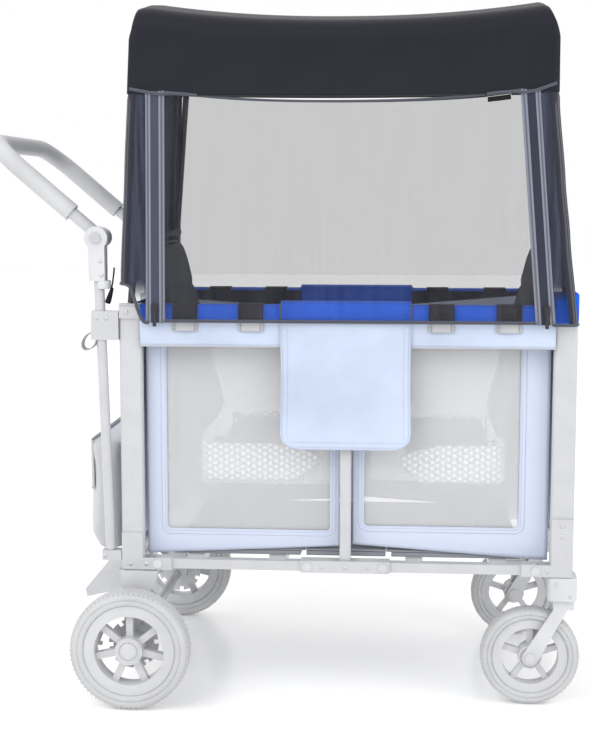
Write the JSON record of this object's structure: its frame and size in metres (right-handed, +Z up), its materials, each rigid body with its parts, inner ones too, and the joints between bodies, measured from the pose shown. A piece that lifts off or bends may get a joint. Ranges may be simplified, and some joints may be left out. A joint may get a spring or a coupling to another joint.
{
  "type": "kids pull wagon",
  "caption": "Folding wagon stroller for children with facing padded seats, mesh side walls, push handle, front casters, foot brake and a zipped mesh canopy cover.",
  "frame": {"origin": "on the ground under the middle of the wagon's overall length and width", "axes": "+X towards the front casters, +Y towards the wagon's left side, +Z up"},
  "size_m": [1.05, 0.634, 1.231],
  "materials": {
    "frame_tube": "satin",
    "bracket": "satin",
    "pin_steel": "satin",
    "moulding": "matt",
    "tyre": "matt",
    "rim": "satin",
    "grip": "matt foam",
    "pale_cloth": "woven polyester",
    "blue_cloth": "woven polyester",
    "bag_cloth": "woven polyester",
    "seat_cloth": "padded woven polyester",
    "floor_cloth": "woven polyester over board",
    "canopy_cloth": "ribbed polyester",
    "canopy_mesh": "fine mesh",
    "zip_metal": "satin",
    "button": "satin",
    "hoop": "satin"
  },
  "bodies": {
    "rear_frame": {"rear_posts": "frame_tube", "rear_cross_bars": "frame_tube", "rear_rail_brackets": "bracket", "rear_hinge_pins": "pin_steel", "rear_legs": "moulding", "rear_axle": "pin_steel", "handle_support_tubes": "frame_tube", "handle_support_brackets": "bracket", "handle_hubs": "moulding", "storage_bag": "bag_cloth", "rear_end_panel": "pale_cloth", "rear_canopy_hoop": "hoop", "rear_side_panels": "pale_cloth", "canopy_roof": "canopy_cloth", "canopy_end_walls": "canopy_mesh", "canopy_side_doors": "canopy_mesh"},
    "handle": {"push_handle": "frame_tube", "handle_grip": "grip"},
    "right_button": {"right_handle_button": "button"},
    "left_button": {"left_handle_button": "button"},
    "brake": {"brake_pedal": "moulding"},
    "rear_right_wheel": {"rear_right_tyre": "tyre", "rear_right_rim": "rim"},
    "rear_left_wheel": {"rear_left_tyre": "tyre", "rear_left_rim": "rim"},
    "rear_lower_link": {"rear_lower_rails": "frame_tube", "rear_floor_board": "floor_cloth"},
    "rear_upper_link": {"rear_upper_rails": "frame_tube", "rear_rail_sleeves": "blue_cloth"},
    "centre": {"centre_posts": "frame_tube", "centre_hinge_brackets": "bracket", "centre_hinge_pins": "pin_steel", "centre_floor_strip": "floor_cloth", "centre_flaps": "blue_cloth"},
    "front_lower_link": {"front_lower_rails": "frame_tube", "front_floor_board": "floor_cloth"},
    "front_upper_link": {"front_upper_rails": "frame_tube", "front_rail_sleeves": "blue_cloth"},
    "front_frame": {"front_posts": "frame_tube", "front_cross_bars": "frame_tube", "front_rail_brackets": "bracket", "front_hinge_pins": "pin_steel", "front_legs": "moulding", "front_end_panel": "pale_cloth", "front_canopy_hoop": "hoop", "front_side_panels": "pale_cloth"},
    "right_caster": {"right_caster_fork": "moulding"},
    "left_caster": {"left_caster_fork": "moulding"},
    "front_right_wheel": {"front_right_tyre": "tyre", "front_right_rim": "rim"},
    "front_left_wheel": {"front_left_tyre": "tyre", "front_left_rim": "rim"},
    "rear_seat_back_panel": {"rear_seat_back": "seat_cloth"},
    "rear_bench": {"rear_seat_bench": "seat_cloth"},
    "front_seat_back_panel": {"front_seat_back": "seat_cloth"},
    "front_bench": {"front_seat_bench": "seat_cloth"},
    "rear_right_zip": {"rear_right_zip_slider": "zip_metal"},
    "rear_left_zip": {"rear_left_zip_slider": "zip_metal"},
    "front_right_zip": {"front_right_zip_slider": "zip_metal"},
    "front_left_zip": {"front_left_zip_slider": "zip_metal"}
  },
  "joints": [
    {"name": "fold", "type": "hinge", "parent": "rear_frame", "child": "rear_lower_link", "pos_m": [-0.2155, 0, 0.2445], "axis": [0, -1, 0], "range_deg": [0, 73.7], "deforming": ["rear_side_panels", "front_side_panels", "canopy_roof", "canopy_end_walls", "canopy_side_doors"]},
    {"name": "rear_upper_rail_turn", "type": "hinge", "parent": "rear_frame", "child": "rear_upper_link", "pos_m": [-0.2155, 0, 0.688], "axis": [0, -1, 0], "range_deg": [0, 73.7]},
    {"name": "centre_turn", "type": "hinge", "parent": "rear_lower_link", "child": "centre", "pos_m": [0.0485, 0, 0.2445], "axis": [0, 1, 0], "range_deg": [0, 73.7]},
    {"name": "front_lower_rail_turn", "type": "hinge", "parent": "centre", "child": "front_lower_link", "pos_m": [0.1805, 0, 0.2445], "axis": [0, 1, 0], "range_deg": [0, 73.7]},
    {"name": "front_upper_rail_turn", "type": "hinge", "parent": "centre", "child": "front_upper_link", "pos_m": [0.1805, 0, 0.688], "axis": [0, 1, 0], "range_deg": [0, 73.7]},
    {"name": "front_frame_turn", "type": "hinge", "parent": "front_lower_link", "child": "front_frame", "pos_m": [0.4445, 0, 0.2445], "axis": [0, -1, 0], "range_deg": [0, 73.7]},
    {"name": "rear_seat_back_swing", "type": "hinge", "parent": "rear_frame", "child": "rear_seat_back_panel", "pos_m": [-0.2465, 0, 0.815], "axis": [0, 1, 0], "range_deg": [0, 15]},
    {"name": "rear_bench_turn", "type": "hinge", "parent": "rear_seat_back_panel", "child": "rear_bench", "pos_m": [-0.13244, 0, 0.455], "axis": [0, -1, 0], "range_deg": [0, 105]},
    {"name": "front_seat_back_swing", "type": "hinge", "parent": "front_frame", "child": "front_seat_back_panel", "pos_m": [0.4755, 0, 0.815], "axis": [0, -1, 0], "range_deg": [0, 15]},
    {"name": "front_bench_turn", "type": "hinge", "parent": "front_seat_back_panel", "child": "front_bench", "pos_m": [0.36144, 0, 0.455], "axis": [0, 1, 0], "range_deg": [0, 105]},
    {"name": "handle_tilt", "type": "hinge", "parent": "rear_frame", "child": "handle", "pos_m": [-0.3165, 0, 0.816], "axis": [0, -1, 0], "range_deg": [-45, 115]},
    {"name": "right_button_press", "type": "slide", "parent": "rear_frame", "child": "right_button", "axis": [0, 1, 0], "range_m": [0, 0.003], "stiffness_N_per_m": 800, "springref_m": -0.002},
    {"name": "rear_right_wheel_spin", "type": "hinge", "parent": "rear_frame", "child": "rear_right_wheel", "pos_m": [-0.2565, -0.295, 0.105], "axis": [0, 1, 0], "continuous": true},
    {"name": "right_caster_swivel", "type": "hinge", "parent": "front_frame", "child": "right_caster", "pos_m": [0.4925, -0.214, 0.2], "axis": [0, 0, 1], "continuous": true},
    {"name": "front_right_wheel_spin", "type": "hinge", "parent": "right_caster", "child": "front_right_wheel", "pos_m": [0.4385, -0.214, 0.0865], "axis": [0, 1, 0], "continuous": true},
    {"name": "rear_right_zip_travel", "type": "slide", "parent": "rear_frame", "child": "rear_right_zip", "axis": [0.0053, 0.0268, 0.9996], "range_m": [0, 0.33]},
    {"name": "front_right_zip_travel", "type": "slide", "parent": "front_frame", "child": "front_right_zip", "axis": [-0.0841, 0.0267, 0.9961], "range_m": [0, 0.33]},
    {"name": "left_button_press", "type": "slide", "parent": "rear_frame", "child": "left_button", "axis": [0, -1, 0], "range_m": [0, 0.003], "stiffness_N_per_m": 800, "springref_m": -0.002},
    {"name": "rear_left_wheel_spin", "type": "hinge", "parent": "rear_frame", "child": "rear_left_wheel", "pos_m": [-0.2565, 0.295, 0.105], "axis": [0, 1, 0], "continuous": true},
    {"name": "left_caster_swivel", "type": "hinge", "parent": "front_frame", "child": "left_caster", "pos_m": [0.4925, 0.214, 0.2], "axis": [0, 0, 1], "continuous": true},
    {"name": "front_left_wheel_spin", "type": "hinge", "parent": "left_caster", "child": "front_left_wheel", "pos_m": [0.4385, 0.214, 0.0865], "axis": [0, 1, 0], "continuous": true},
    {"name": "rear_left_zip_travel", "type": "slide", "parent": "rear_frame", "child": "rear_left_zip", "axis": [0.0395, -0.0268, 0.9989], "range_m": [0, 0.33]},
    {"name": "front_left_zip_travel", "type": "slide", "parent": "front_frame", "child": "front_left_zip", "axis": [-0.071, -0.0268, 0.9971], "range_m": [0, 0.33]},
    {"name": "brake_press", "type": "hinge", "parent": "rear_frame", "child": "brake", "pos_m": [-0.3005, 0, 0.165], "axis": [0, -1, 0], "range_deg": [0, 14]}
  ],
  "couplings": [
    {"joint": "rear_upper_rail_turn", "follows": "fold", "ratio": 1},
    {"joint": "centre_turn", "follows": "fold", "ratio": 1},
    {"joint": "front_lower_rail_turn", "follows": "fold", "ratio": 1},
    {"joint": "front_upper_rail_turn", "follows": "fold", "ratio": 1},
    {"joint": "front_frame_turn", "follows": "fold", "ratio": 1},
    {"joint": "rear_seat_back_swing", "follows": "fold", "ratio": 0.20353},
    {"joint": "rear_bench_turn", "follows": "fold", "ratio": 1.4247},
    {"joint": "front_seat_back_swing", "follows": "fold", "ratio": 0.20353},
    {"joint": "front_bench_turn", "follows": "fold", "ratio": 1.4247}
  ]
}
